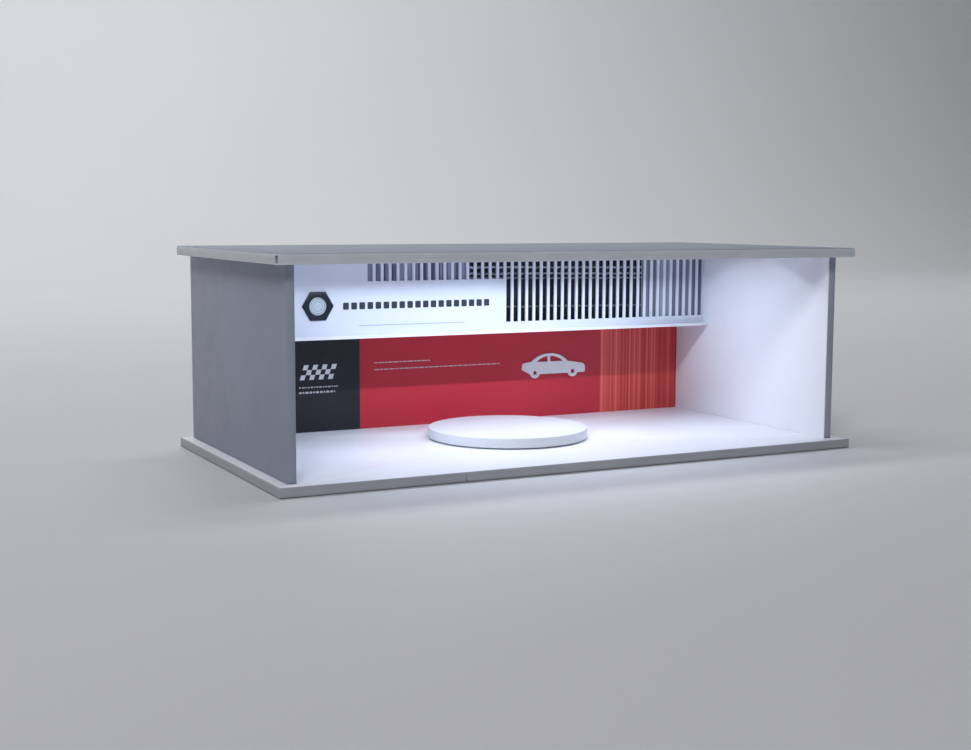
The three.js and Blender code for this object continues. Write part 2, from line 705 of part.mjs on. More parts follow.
function jackNut() {
  const nut = { corner: 5.8, thickness: 2, top: -BOARD - 0.1 };
  const hexagon = cylinder(nut.corner, nut.top - nut.thickness, nut.top, 6);
  const bore = cylinder(JACK.barrel + 0.15, nut.top - nut.thickness - 1, nut.top + 1, COARSE);
  return placed("power_jack_nut", cut(hexagon, [bore]), MATERIALS.jackMetal);
}

function jackTab(name, y) {
  const tab = { width: 2, thickness: 0.4, length: 4.5, gap: 0.05 };
  const strip = new THREE.BoxGeometry(tab.width, tab.thickness, tab.length);
  return placed(name, strip, MATERIALS.jackMetal, [0, y, JACK.rear - tab.gap - tab.length / 2]);
}

// ---- Assembly -----------------------------------------------------------------------------------------------

const stand = new THREE.Group();

const shell = new THREE.Group();
shell.add(baseBoard(), roofBoard(), floorLiner(), ceilingLiner());
shell.add(baseEdgeBand(), roofEdgeBand());
shell.add(sideWall("left_wall", -1), sideWall("right_wall", 1), backWall(), backdropPanel());
shell.add(sideLiner("left_liner", -1, WALL_FRONT + LEFT_SETBACK), sideLiner("right_liner", 1, WALL_FRONT));
stand.add(shell);

const fascia = new THREE.Group();
fascia.add(fasciaFront(), fasciaFilm(), fasciaBacking(), fasciaSoffit(), signBadge(), backdropBadge());
stand.add(fascia);

const turntable = new THREE.Group();
turntable.position.set(TURNTABLE_X, TURNTABLE_Y, 0);
turntable.add(turntableDisc(), turntableHub(), hubScrew());
turntable.add(bearingOuterRing(), bearingInnerRing(), bearingCage(), ...bearingBalls());
stand.add(turntable);

const lighting = new THREE.Group();
lighting.add(ledBoard(), ...ledChips(), ...leads());
CLIP_PLACES.forEach((y, i) => lighting.add(leadClip(`lead_clip_${i + 1}`, y)));
stand.add(lighting);

const powerJack = new THREE.Group();
powerJack.position.set(JACK_X, BACK_WALL_REAR, JACK_Z);
powerJack.rotation.x = -Math.PI / 2;
powerJack.add(jackBody(), jackPin(), jackNut());
powerJack.add(jackTab("power_jack_tab_positive", -1.8), jackTab("power_jack_tab_negative", 1.8));
stand.add(powerJack);

export default stand;
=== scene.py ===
"""Looks for the turntable display stand: materials, printed graphics, fine details, studio and camera.

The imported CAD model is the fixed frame. Everything is in its row frame, in metres: X to the right, Y from
the open front to the back wall, Z up. Small sizes are written as a number times MM.
"""

import json
import math

import bpy
from mathutils import Matrix, Vector


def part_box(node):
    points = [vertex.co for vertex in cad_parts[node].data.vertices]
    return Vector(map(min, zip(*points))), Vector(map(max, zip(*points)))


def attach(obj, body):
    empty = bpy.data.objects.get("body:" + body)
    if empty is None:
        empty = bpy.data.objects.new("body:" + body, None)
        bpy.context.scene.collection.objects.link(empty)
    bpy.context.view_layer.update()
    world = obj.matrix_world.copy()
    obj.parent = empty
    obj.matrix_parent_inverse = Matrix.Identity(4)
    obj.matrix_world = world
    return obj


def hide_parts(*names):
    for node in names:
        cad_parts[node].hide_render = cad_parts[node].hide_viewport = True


MM = 0.001

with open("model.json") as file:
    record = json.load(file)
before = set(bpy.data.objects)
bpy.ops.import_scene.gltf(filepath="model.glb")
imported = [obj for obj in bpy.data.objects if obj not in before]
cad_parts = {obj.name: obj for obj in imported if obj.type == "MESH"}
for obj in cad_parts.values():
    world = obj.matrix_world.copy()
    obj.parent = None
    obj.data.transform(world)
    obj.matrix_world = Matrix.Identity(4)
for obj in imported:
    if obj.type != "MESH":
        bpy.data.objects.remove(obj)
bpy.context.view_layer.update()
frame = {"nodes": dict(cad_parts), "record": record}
NODES = frame["nodes"]


# ---- Where things are, from the frame ------------------------------------------------------------


def middle_of(name):
    """The middle of a CAD node's box."""
    low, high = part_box(name)
    return (low + high) / 2


FASCIA_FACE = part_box("fascia_front")[0].y
BACKDROP_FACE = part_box("backdrop_panel")[0].y
DISC_LOW, DISC_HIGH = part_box("turntable_disc")
DISC_CENTRE = middle_of("turntable_disc")
HUB_CENTRE = middle_of("turntable_hub")
LED_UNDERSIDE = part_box("led_board")[0].z
CHIP_NAMES = sorted(name for name in NODES if name.startswith("led_chip_"))
BALL_NAMES = sorted(name for name in NODES if name.startswith("bearing_ball_"))


# ---- Modifiers that finish a faceted mesh --------------------------------------------------------


def geometry_group(name):
    """A geometry node group with one geometry in and one out, its nodes, and those two ends."""
    group = bpy.data.node_groups.new(name, "GeometryNodeTree")
    group.interface.new_socket("Geometry", in_out="INPUT", socket_type="NodeSocketGeometry")
    group.interface.new_socket("Geometry", in_out="OUTPUT", socket_type="NodeSocketGeometry")
    return group, group.nodes.new("NodeGroupInput"), group.nodes.new("NodeGroupOutput")


def weld_group():
    """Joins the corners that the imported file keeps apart, and drops the normals stored with them."""
    group, start, end = geometry_group("weld")
    drop = group.nodes.new("GeometryNodeRemoveAttribute")
    drop.inputs["Name"].default_value = "custom_normal"
    merge = group.nodes.new("GeometryNodeMergeByDistance")
    merge.inputs["Distance"].default_value = 0.001 * MM
    group.links.new(start.outputs[0], drop.inputs["Geometry"])
    group.links.new(drop.outputs["Geometry"], merge.inputs["Geometry"])
    group.links.new(merge.outputs["Geometry"], end.inputs[0])
    return group


def smooth_group(angle):
    """Shades a mesh smooth, with an edge kept sharp where its faces meet at more than angle."""
    group, start, end = geometry_group("smooth")
    edge = group.nodes.new("GeometryNodeInputMeshEdgeAngle")
    gentle = group.nodes.new("FunctionNodeCompare")
    gentle.operation = "LESS_THAN"
    gentle.inputs["B"].default_value = angle
    faces = group.nodes.new("GeometryNodeSetShadeSmooth")
    edges = group.nodes.new("GeometryNodeSetShadeSmooth")
    faces.domain = "FACE"
    edges.domain = "EDGE"
    group.links.new(edge.outputs["Unsigned Angle"], gentle.inputs["A"])
    group.links.new(start.outputs[0], faces.inputs["Geometry"])
    group.links.new(faces.outputs["Geometry"], edges.inputs["Geometry"])
    group.links.new(gentle.outputs["Result"], edges.inputs["Shade Smooth"])
    group.links.new(edges.outputs["Geometry"], end.inputs[0])
    return group


WELD = weld_group()
SMOOTH = smooth_group(math.radians(32))


def finish_surface(piece, bevel=0.0, segments=2, subdivide=0):
    """Welds a piece, rounds its sharp edges by bevel, subdivides it if asked, and shades it smooth."""
    piece.modifiers.new("weld", "NODES").node_group = WELD
    if bevel:
        rounding = piece.modifiers.new("bevel", "BEVEL")
        rounding.width = bevel
        rounding.segments = segments
        rounding.limit_method = "ANGLE"
        rounding.angle_limit = math.radians(40)
        rounding.use_clamp_overlap = True
    if subdivide:
        rounder = piece.modifiers.new("subdivide", "SUBSURF")
        rounder.levels = subdivide
        rounder.render_levels = subdivide
    piece.modifiers.new("smooth", "NODES").node_group = SMOOTH


# ---- Materials -----------------------------------------------------------------------------------


class Look:
    """A procedural material on one Principled shader, worked in the row frame's own coordinates."""

    def __init__(self, name, **sockets):
        self.material = bpy.data.materials.new(name)
        self.material.use_nodes = True
        self.tree = self.material.node_tree
        self.shader = self.tree.nodes["Principled BSDF"]
        self.where = self.node("ShaderNodeTexCoord")
        for socket, value in sockets.items():
            self.shader.inputs[socket.replace("_", " ")].default_value = value

    def node(self, kind, **settings):
        made = self.tree.nodes.new(kind)
        for setting, value in settings.items():
            setattr(made, setting, value)
        return made

    def put(self, value, socket):
        """Links a node's output to a socket, or sets a plain value on it."""
        if isinstance(value, bpy.types.NodeSocket):
            self.tree.links.new(value, socket)
        else:
            socket.default_value = value

    def position(self, stretch=(1, 1, 1)):
        """The place in the row frame, with each axis scaled by stretch."""
        mapping = self.node("ShaderNodeMapping")
        mapping.inputs["Scale"].default_value = stretch
        self.put(self.where.outputs["Object"], mapping.inputs["Vector"])
        return mapping.outputs["Vector"]

    def axes(self, vector=None):
        """The X, Y and Z of a vector, or of the place in the row frame."""
        split = self.node("ShaderNodeSeparateXYZ")
        self.put(vector or self.where.outputs["Object"], split.inputs[0])
        return split.outputs

    def noise(self, size, detail=3.0, stretch=(1, 1, 1), roughness=0.5):
        """Noise from 0 to 1 with features of about that size."""
        texture = self.node("ShaderNodeTexNoise")
        texture.inputs["Scale"].default_value = 1 / size
        texture.inputs["Detail"].default_value = detail
        texture.inputs["Roughness"].default_value = roughness
        self.put(self.position(stretch), texture.inputs["Vector"])
        return texture.outputs["Fac"]

    def cells(self, size):
        """Distance from the middle of the nearest cell, for pores and grain."""
        texture = self.node("ShaderNodeTexVoronoi")
        texture.inputs["Scale"].default_value = 1 / size
        self.put(self.position(), texture.inputs["Vector"])
        return texture.outputs["Distance"]

    def bars(self, size):
        """A random level for each of the upright bars, about that wide, that cross the X axis."""
        texture = self.node("ShaderNodeTexVoronoi", voronoi_dimensions="1D")
        texture.inputs["Scale"].default_value = 1 / size
        self.put(self.axes()[0], texture.inputs["W"])
        return self.axes(texture.outputs["Color"])[0]

    def radius(self, centre):
        """Distance from the upright line through centre."""
        x, y, _ = self.axes()
        across = self.math("SUBTRACT", x, centre.x)
        along = self.math("SUBTRACT", y, centre.y)
        squares = [self.math("MULTIPLY", side, side) for side in (across, along)]
        return self.math("SQRT", self.math("ADD", *squares))

    def rings(self, place, size, detail=2.0):
        """Noise along one number, such as a radius, with features of about that size."""
        texture = self.node("ShaderNodeTexNoise", noise_dimensions="1D")
        texture.inputs["Scale"].default_value = 1 / size
        texture.inputs["Detail"].default_value = detail
        self.put(place, texture.inputs["W"])
        return texture.outputs["Fac"]

    def ramp(self, value, *stops):
        """A level that follows value through (place, level) stops."""
        ramp = self.node("ShaderNodeValToRGB")
        elements = ramp.color_ramp.elements
        while len(elements) < len(stops):
            elements.new(1.0)
        for element, (place, level) in zip(elements, stops):
            element.position = place
            element.color = (level, level, level, 1.0)
        self.put(value, ramp.inputs["Fac"])
        return ramp.outputs["Color"]

    def math(self, operation, a, b=0.0):
        sums = self.node("ShaderNodeMath", operation=operation)
        self.put(a, sums.inputs[0])
        self.put(b, sums.inputs[1])
        return sums.outputs[0]

    def fit(self, value, low, high, to_low=0.0, to_high=1.0):
        """value from low..high carried to to_low..to_high, and held there outside."""
        carry = self.node("ShaderNodeMapRange")
        for number, socket in zip((value, low, high, to_low, to_high), carry.inputs):
            self.put(number, socket)
        return carry.outputs[0]

    def above(self, value, edge, soft=0.02 * MM):
        """0 below the edge and 1 above it, with a short soft step."""
        return self.fit(value, edge - soft, edge + soft)

    def between(self, value, low, high):
        """1 from low to high and 0 outside, with short soft steps."""
        past_low = self.above(value, low)
        short_of_high = self.math("SUBTRACT", 1.0, self.above(value, high))
        return self.math("MULTIPLY", past_low, short_of_high)

    def mottle(self, level, base, darker, lighter):
        """A colour that drifts between two tints of base as level goes from 0.3 to 0.7."""
        return self.mix(self.fit(level, 0.3, 0.7), tint(base, darker), tint(base, lighter))

    def mix(self, share, a, b):
        """Colour a turning into colour b as share goes from 0 to 1."""
        blend = self.node("ShaderNodeMix", data_type="RGBA")
        for value, socket in zip((share, a, b), (blend.inputs[0], blend.inputs[6], blend.inputs[7])):
            self.put(opaque(value) if isinstance(value, tuple) else value, socket)
        return blend.outputs[2]

    def colour(self, value):
        self.put(opaque(value) if isinstance(value, tuple) else value, self.shader.inputs["Base Color"])

    def rough(self, value):
        self.put(value, self.shader.inputs["Roughness"])

    def relief(self, *layers):
        """Bump from (height, strength, depth) layers, the first one deepest."""
        normal = None
        for height, strength, depth in layers:
            bump = self.node("ShaderNodeBump")
            bump.inputs["Strength"].default_value = strength
            bump.inputs["Distance"].default_value = depth
            self.put(height, bump.inputs["Height"])
            if normal:
                self.put(normal, bump.inputs["Normal"])
            normal = bump.outputs["Normal"]
        self.put(normal, self.shader.inputs["Normal"])


def opaque(colour):
    return (*colour[:3], 1.0)


def tint(colour, factor):
    return tuple(min(1.0, channel * factor) for channel in colour)


def foam_board():
    """Grey closed-cell PVC board: a satin skin with fine mottling, and open pores on the sawn edges, darkened
    in colour as painted shade.
    """
    skin = (0.312, 0.350, 0.425)
    look = Look("foam_board", Specular_IOR_Level=0.42)
    mottle = look.noise(26 * MM, detail=4)
    fine = look.noise(0.55 * MM, detail=3, roughness=0.6)
    colour = look.mottle(mottle, skin, 0.95, 1.05)
    colour = look.mix(look.fit(fine, 0.35, 0.7, 0.0, 0.22), colour, tint(skin, 1.25))
    facing = look.axes(look.where.outputs["Normal"])
    sawn = look.above(look.math("ABSOLUTE", facing[1]), 0.7, soft=0.05)
    pores = look.fit(look.cells(0.42 * MM), 0.05, 0.5)
    # Painted shade: the open pores on the sawn faces are darkened in colour, as if shaded inside.
    colour = look.mix(look.math("MULTIPLY", sawn, look.fit(pores, 0, 0.6, 0.5, 0)), colour, tint(skin, 0.5))
    look.colour(colour)
    look.rough(look.fit(look.noise(7 * MM, detail=5), 0.3, 0.7, 0.5, 0.64))
    look.relief(
        (look.math("MULTIPLY", pores, sawn), 0.5, 0.06 * MM),
        (fine, 0.25, 0.03 * MM),
        (look.noise(60 * MM, detail=1), 0.3, 0.15 * MM),
    )
    return look.material


def edge_banding(name, base, band, *ply_and_shade_levels):
    """Grey banding that shows a board's layers as faint lines along it, with a few rubbed spots. Its levels
    also carry painted shade where given, as the base's do at its foot.
    """
    look = Look(name, Specular_IOR_Level=0.45)
    low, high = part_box(band)
    height = look.fit(look.axes()[2], low.z, high.z)
    grain = look.noise(0.35 * MM, detail=3, stretch=(0.02, 0.02, 1))
    rubbed = look.fit(look.noise(9 * MM, detail=6, stretch=(0.5, 0.5, 1.6)), 0.5, 0.72)
    colour = look.mix(look.ramp(height, *ply_and_shade_levels), tint(base, 0.6), tint(base, 1.4))
    colour = look.mix(look.fit(grain, 0.3, 0.7, 0.0, 0.3), colour, tint(base, 0.7))
    look.colour(look.mix(look.math("MULTIPLY", rubbed, 0.35), colour, tint(base, 1.3)))
    look.rough(look.fit(rubbed, 0, 1, 0.46, 0.6))
    look.relief((grain, 0.3, 0.04 * MM), (look.noise(0.5 * MM, detail=2), 0.2, 0.02 * MM))
    return look.material


def white_sheet(name="white_sheet", base=(0.835, 0.850, 0.905), gloss=0.4):
    """White rigid sheet: satin, faintly uneven, with soft handling marks."""
    look = Look(name, Specular_IOR_Level=0.45)
    cloud = look.noise(38 * MM, detail=4)
    handled = look.fit(look.noise(11 * MM, detail=7, roughness=0.65), 0.52, 0.7)
    colour = look.mottle(cloud, base, 0.985, 1.01)
    look.colour(look.mix(look.math("MULTIPLY", handled, 0.35), colour, tint(base, 0.965)))
    satin = look.fit(cloud, 0.3, 0.7, gloss, gloss + 0.06)
    look.rough(look.math("ADD", satin, look.fit(handled, 0, 1, 0, 0.09)))
    look.relief(
        (look.noise(0.7 * MM, detail=2), 0.18, 0.02 * MM),
        (look.noise(30 * MM, detail=1), 0.25, 0.1 * MM),
    )
    return look.material


def printed_backdrop():
    """The backdrop's print: a dark block, a red field and an end of uneven brick-red bars, on vinyl."""
    dark, red = (0.009, 0.011, 0.017), (0.540, 0.020, 0.040)
    deep, brick, bright = (0.540, 0.038, 0.036), (0.700, 0.080, 0.066), (0.850, 0.165, 0.130)
    block_end, bars_start, bars_end = -58.45 * MM, 87.6 * MM, 139.5 * MM
    look = Look("printed_backdrop", Specular_IOR_Level=0.4)
    x = look.axes()[0]
    level = look.bars(1.05 * MM)
    bars = look.mix(look.fit(level, 0.1, 0.35), deep, brick)
    bars = look.mix(look.fit(level, 0.7, 0.8), bars, bright)
    bars = look.mix(look.fit(x, bars_start, bars_end, 0.0, 0.45), bars, deep)
    colour = look.mottle(look.noise(45 * MM, detail=3), red, 0.94, 1.05)
    colour = look.mix(look.above(x, bars_start), colour, bars)
    colour = look.mix(look.above(x, block_end), dark, colour)
    dots = look.cells(0.32 * MM)
    look.colour(look.mix(look.fit(dots, 0.1, 0.6, 0.03, 0.0), colour, (0.9, 0.9, 0.92)))
    look.rough(look.fit(look.noise(14 * MM, detail=5), 0.3, 0.7, 0.38, 0.5))
    look.relief(
        (look.noise(1.1 * MM, detail=2), 0.15, 0.02 * MM),
        (look.noise(50 * MM, detail=1), 0.3, 0.12 * MM),
    )
    return look.material


def printed_film():
    """The film behind the slots: uneven grey bars at both ends, and a dark picture with pale rows between."""
    violet, lavender = (0.070, 0.066, 0.130), (0.330, 0.330, 0.470)
    slate, sky = (0.100, 0.110, 0.170), (0.330, 0.390, 0.460)
    black, navy, glint = (0.003, 0.004, 0.006), (0.022, 0.024, 0.036), (0.42, 0.43, 0.51)
    picture_start, picture_end, slant = -9.0 * MM, 98.5 * MM, 0.0135
    look = Look("printed_film", Specular_IOR_Level=0.12)
    x, _, z = look.axes()
    level = look.bars(1.5 * MM)
    wobble = look.fit(look.noise(2.2 * MM, detail=2), 0.3, 0.7, -0.35 * MM, 0.35 * MM)
    height = look.math("ADD", look.math("ADD", z, look.math("MULTIPLY", x, slant)), wobble)
    broken = look.noise(2.4 * MM, detail=3)
    rows = ((88.6, 0.55, 1.0), (85.3, 0.5, 0.85), (82.9, 0.45, 0.6), (68.0, 0.5, 0.25))
    picture = look.mix(look.math("MULTIPLY", level, look.fit(height, 68 * MM, 74 * MM)), black, navy)
    for middle, half, strength in rows:
        row = look.between(height, (middle - half) * MM, (middle + half) * MM)
        share = look.math("MULTIPLY", row, look.fit(broken, 0.35, 0.55, 0.3 * strength, strength))
        picture = look.mix(share, picture, glint)
    left = look.mix(level, violet, lavender)
    right = look.mix(level, slate, look.mix(look.fit(x, 112 * MM, 128 * MM), sky, tint(lavender, 0.8)))
    colour = look.mix(look.above(x, picture_end), picture, right)
    look.colour(look.mix(look.above(x, picture_start), left, colour))
    look.rough(look.fit(look.noise(9 * MM, detail=4), 0.3, 0.7, 0.3, 0.45))
    look.relief((look.noise(0.8 * MM, detail=2), 0.12, 0.02 * MM))
    return look.material


def ink(name, base, roughness=0.42, speckle=0.12):
    """Printed or cut vinyl: one colour with a fine print grain."""
    look = Look(name, Specular_IOR_Level=0.4)
    grain = look.noise(0.25 * MM, detail=2)
    look.colour(look.mottle(grain, base, 1 - speckle, 1 + speckle))
    look.rough(look.fit(look.noise(4 * MM, detail=4), 0.3, 0.7, roughness - 0.05, roughness + 0.07))
    look.relief((grain, 0.12, 0.01 * MM))
    return look.material


def turned_metal(name, base, roughness, centre=None):
    """Metal with fine turning rings about an upright axis through centre, or a fine grain without one."""
    look = Look(name, Metallic=1.0)
    if centre:
        grain = look.rings(look.math("ADD", look.radius(centre), look.axes()[2]), 0.12 * MM)
    else:
        grain = look.noise(0.2 * MM, detail=3)
    stain = look.noise(3 * MM, detail=4)
    look.colour(look.mix(look.fit(stain, 0.3, 0.75), tint(base, 0.9), tint(base, 1.05)))
    look.rough(look.fit(grain, 0.3, 0.7, roughness - 0.06, roughness + 0.1))
    look.relief((grain, 0.2, 0.008 * MM))
    return look.material


def moulded(name, base, roughness=0.45):
    """Moulded plastic or insulation with a fine spark-eroded grain."""
    look = Look(name, Specular_IOR_Level=0.5)
    grain = look.noise(0.18 * MM, detail=2)
    look.colour(look.mottle(look.noise(5 * MM, detail=3), base, 0.88, 1.12))
    look.rough(look.fit(grain, 0.3, 0.7, roughness - 0.05, roughness + 0.08))
    look.relief((grain, 0.25, 0.01 * MM))
    return look.material


def white_disc():
    """The turntable's board: white and satin, with faint rings worn by turning."""
    base = (0.72, 0.74, 0.79)
    look = Look("white_disc", Specular_IOR_Level=0.45)
    rings = look.rings(look.radius(DISC_CENTRE), 1.6 * MM, detail=5)
    ringed = look.fit(rings, 0.5, 0.7)
    worn = look.math("MULTIPLY", ringed, look.fit(look.noise(24 * MM, detail=4), 0.4, 0.7))
    look.colour(look.mix(look.math("MULTIPLY", worn, 0.4), base, tint(base, 0.965)))
    look.rough(look.fit(worn, 0, 1, 0.40, 0.52))
    look.relief((rings, 0.08, 0.02 * MM), (look.noise(0.7 * MM, detail=2), 0.15, 0.02 * MM))
    return look.material


def lit_phosphor():
    """The yellowish window of a lit LED chip."""
    look = Look("lit_phosphor", Roughness=0.35, Emission_Strength=9.0)
    grain = look.noise(0.3 * MM, detail=2)
    look.colour(look.mix(look.fit(grain, 0.3, 0.7), (0.95, 0.82, 0.45), (1.0, 0.93, 0.68)))
    look.put(look.mix(look.fit(grain, 0.3, 0.7), (0.88, 0.93, 1.0), (0.95, 0.97, 1.0)),
             look.shader.inputs["Emission Color"])
    return look.material


def studio_paper():
    """The pale surface that the stand is on."""
    base = (0.62, 0.625, 0.64)
    look = Look("studio_paper", Specular_IOR_Level=0.3)
    look.colour(look.mottle(look.noise(300 * MM, detail=3), base, 0.99, 1.01))
    look.rough(look.fit(look.noise(2 * MM, detail=3), 0.3, 0.7, 0.55, 0.65))
    look.relief((look.noise(1.5 * MM, detail=3), 0.05, 0.02 * MM))
    return look.material


MATERIALS = {
    "foam_board": foam_board(),
    "edge_banding": edge_banding("roof_banding", (0.640, 0.680, 0.745), "roof_edge_band",
                                 (0.0, 0.62), (0.2, 0.5), (0.5, 0.44), (0.8, 0.52), (1.0, 0.66)),
    "white_sheet": white_sheet(),
    "printed_backdrop": printed_backdrop(),
    "printed_film": printed_film(),
    "dark_badge": ink("dark_badge", (0.010, 0.016, 0.026), 0.35),
    "white_badge": ink("white_badge", (0.86, 0.87, 0.90), 0.35, 0.02),
    "white_disc": white_disc(),
    "turned_aluminium": turned_metal("turned_aluminium", (0.62, 0.63, 0.65), 0.34, HUB_CENTRE),
    "bearing_steel": turned_metal("bearing_steel", (0.60, 0.61, 0.63), 0.2, HUB_CENTRE),
    "cage_brass": turned_metal("cage_brass", (0.72, 0.50, 0.20), 0.32, HUB_CENTRE),
    "led_board": white_sheet("led_board", (0.84, 0.84, 0.80), 0.25),
    "led_chip": white_sheet("led_chip", (0.86, 0.86, 0.82), 0.3),
    "lead_red": moulded("lead_red", (0.50, 0.022, 0.018), 0.38),
    "lead_black": moulded("lead_black", (0.012, 0.012, 0.014), 0.38),
    "clip_plastic": moulded("clip_plastic", (0.78, 0.78, 0.80), 0.4),
    "jack_plastic": moulded("jack_plastic", (0.014, 0.014, 0.016), 0.42),
    "jack_metal": turned_metal("jack_metal", (0.66, 0.64, 0.60), 0.25),
}
PAINTED_SHADE_LOOKS = {
    # Painted shade: the base's banding is a darker copy of the roof's banding, and its lowest level is
    # painted shade where it meets the floor.
    "base_edge_band": edge_banding("base_banding_shaded", (0.410, 0.430, 0.465), "base_edge_band",
                                   (0.0, 0.2), (0.14, 0.62), (0.3, 0.6), (0.5, 0.5), (0.8, 0.42), (1.0, 0.6)),
    # Painted shade: the fascia's front sheet is a darker, bluer copy of the white sheet.
    "fascia_front": white_sheet("fascia_sheet_shaded", (0.735, 0.770, 0.880)),
}
PHOSPHOR = lit_phosphor()
DARK_INK = ink("dark_ink", (0.030, 0.036, 0.055), 0.4)
GREY_INK = ink("grey_ink", (0.36, 0.39, 0.45), 0.4)
PALE_INK = ink("pale_ink", (0.62, 0.56, 0.60), 0.4)
BLUE_STEEL_INK = ink("blue_steel_ink", (0.50, 0.60, 0.66), 0.35)
COPPER = turned_metal("tinned_copper", (0.80, 0.62, 0.42), 0.3)
SOLDER = turned_metal("solder", (0.66, 0.67, 0.69), 0.22)

BEVELS = {
    "foam_board": 0.3 * MM,
    "edge_banding": 0.12 * MM,
    "white_sheet": 0.12 * MM,
    "printed_backdrop": 0.1 * MM,
    "printed_film": 0.03 * MM,
    "dark_badge": 0.08 * MM,
    "white_badge": 0.15 * MM,
    "turned_aluminium": 0.12 * MM,
    "bearing_steel": 0.1 * MM,
    "cage_brass": 0.05 * MM,
    "led_board": 0.05 * MM,
    "clip_plastic": 0.15 * MM,
    "jack_metal": 0.1 * MM,
}


def dress_nodes():
    """Gives each CAD node its material slot's look, or the darker painted-shade copy listed for it, and
    rounds its edges.
    """
    for part in frame["record"]["subparts"]:
        node, slot = NODES[part["node"]], part["material_slot"]
        node.data.materials.clear()
        node.data.materials.append(PAINTED_SHADE_LOOKS.get(node.name, MATERIALS[slot]))
        if node.name in BALL_NAMES:
            finish_surface(node, subdivide=2)
        elif node.name.startswith("led_lead"):
            finish_surface(node, subdivide=1)
        else:
            finish_surface(node, BEVELS.get(slot, 0.0))


# ---- Pieces made here ----------------------------------------------------------------------------


def add_piece(name, points, faces, materials, slot, body="case", face_materials=None):
    """A mesh piece with these materials, on a CAD body. The material slot that it takes after is not used."""
    mesh = bpy.data.meshes.new(name)
    mesh.from_pydata(points, [], faces)
    for material in materials:
        mesh.materials.append(material)
    if face_materials:
        mesh.polygons.foreach_set("material_index", face_materials)
    mesh.update()
    piece = bpy.data.objects.new(name, mesh)
    bpy.context.scene.collection.objects.link(piece)
    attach(piece, body)
    return piece


def loft(loops, close_start=True, close_end=True):
    """Points and faces of a skin through loops of equal length."""
    count = len(loops[0])
    points = [point for loop in loops for point in loop]
    faces = []
    for ring in range(len(loops) - 1):
        for i in range(count):
            j = (i + 1) % count
            low, high = ring * count, (ring + 1) * count
            faces.append((low + i, low + j, high + j, high + i))
    if close_start:
        faces.append(tuple(reversed(range(count))))
    if close_end:
        faces.append(tuple(range((len(loops) - 1) * count, len(loops) * count)))
    return points, faces


def turned_loops(profile, centre, axis, segments):
    """The circles that a profile of (radius, height) makes about a line through centre along axis."""
    turn = Vector((0, 0, 1)).rotation_difference(Vector(axis)).to_matrix()
    angles = [2 * math.pi * i / segments for i in range(segments)]
    loops = []
    for radius, height in profile:
        circle = [Vector((radius * math.cos(a), radius * math.sin(a), height)) for a in angles]
        loops.append([Vector(centre) + turn @ point for point in circle])
    return loops


def joined(parts):
    """One set of points and faces from several."""
    points, faces = [], []
    for more_points, more_faces in parts:
        offset = len(points)
        points += more_points
        faces += [tuple(offset + i for i in face) for face in more_faces]
    return points, faces


def upright_plate(outline, face, thickness):
    """Points and faces of a thin plate, its outline in X and Z, that stands out from y = face."""
    near = [(x, face - thickness, z) for x, z in outline]
    far = [(x, face, z) for x, z in outline]
    return loft([near, far])


def plate_below(outline, top, thickness):
    """Points and faces of a thin plate, its outline in X and Y, under a surface at height top."""
    upper = [(x, y, top) for x, y in outline]
    lower = [(x, y, top - thickness) for x, y in outline]
    return loft([lower, upper])


def rounded_bar(left, right, low, high, radius, steps=3):
    """A rectangle with round corners, anticlockwise as seen from the front."""
    radius = min(radius, (right - left) / 2, (high - low) / 2)
    corners = [(right - radius, low + radius, -90), (right - radius, high - radius, 0),
               (left + radius, high - radius, 90), (left + radius, low + radius, 180)]
    outline = []
    for x, z, start in corners:
        for i in range(steps + 1):
            angle = math.radians(start + 90 * i / steps)
            outline.append((x + radius * math.cos(angle), z + radius * math.sin(angle)))
    return outline


def dashes(left, right, low, height, lengths, gap):
    """A row of small bars from left to right, with their lengths taken in turn."""
    row, x, i = [], left, 0
    while x < right:
        end = min(x + lengths[i % len(lengths)], right)
        row.append(rounded_bar(x, end, low, low + height, height / 2, steps=2))
        x = end + gap
        i += 1
    return row


def add_plates(name, outlines, face, material, slot, thickness=0.04 * MM):
    """One piece of thin upright plates on y = face, as printed or cut vinyl."""
    parts = [upright_plate(outline, face, thickness) for outline in outlines]
    add_piece(name, *joined(parts), [material], slot)


def sign_graphics():
    """The sign field: a row of equal dark bars and a thin rule."""
    bar_count, left, pitch, width = 19, -77.5 * MM, 4.35 * MM, 3.05 * MM
    low, high, corner = 68.7 * MM, 72.2 * MM, 0.5 * MM
    starts = [left + i * pitch for i in range(bar_count)]
    bars = [rounded_bar(start, start + width, low, high, corner) for start in starts]
    add_plates("sign_bar_row", bars, FASCIA_FACE, DARK_INK, "dark_badge")
    rule = rounded_bar(-69.1 * MM, -10.2 * MM, 60.35 * MM, 60.7 * MM, 0.17 * MM)
    add_plates("sign_rule", [rule], FASCIA_FACE, GREY_INK, "dark_badge")


def nut_graphics():
    """The sign badge's printed bore and its thread, as a pale disc with two rings on it."""
    middle = middle_of("sign_badge")
    centre, outwards, segments = (middle.x, FASCIA_FACE, middle.z), (0, -1, 0), 48
    bore, bore_proud, ring_proud = 4.45 * MM, 0.05 * MM, 0.09 * MM
    loops = turned_loops([(bore, 0), (bore, bore_proud)], centre, outwards, segments)
    add_piece("sign_nut_bore", *loft(loops), [BLUE_STEEL_INK], "dark_badge")
    for number, outer, inner in ((1, 3.9 * MM, 3.45 * MM), (2, 2.7 * MM, 2.3 * MM)):
        profile = [(inner, 0), (outer, 0), (outer, ring_proud), (inner, ring_proud), (inner, 0)]
        loops = turned_loops(profile, centre, outwards, segments)
        add_piece(f"sign_nut_thread_{number}", *loft(loops, False, False), [GREY_INK], "dark_badge")


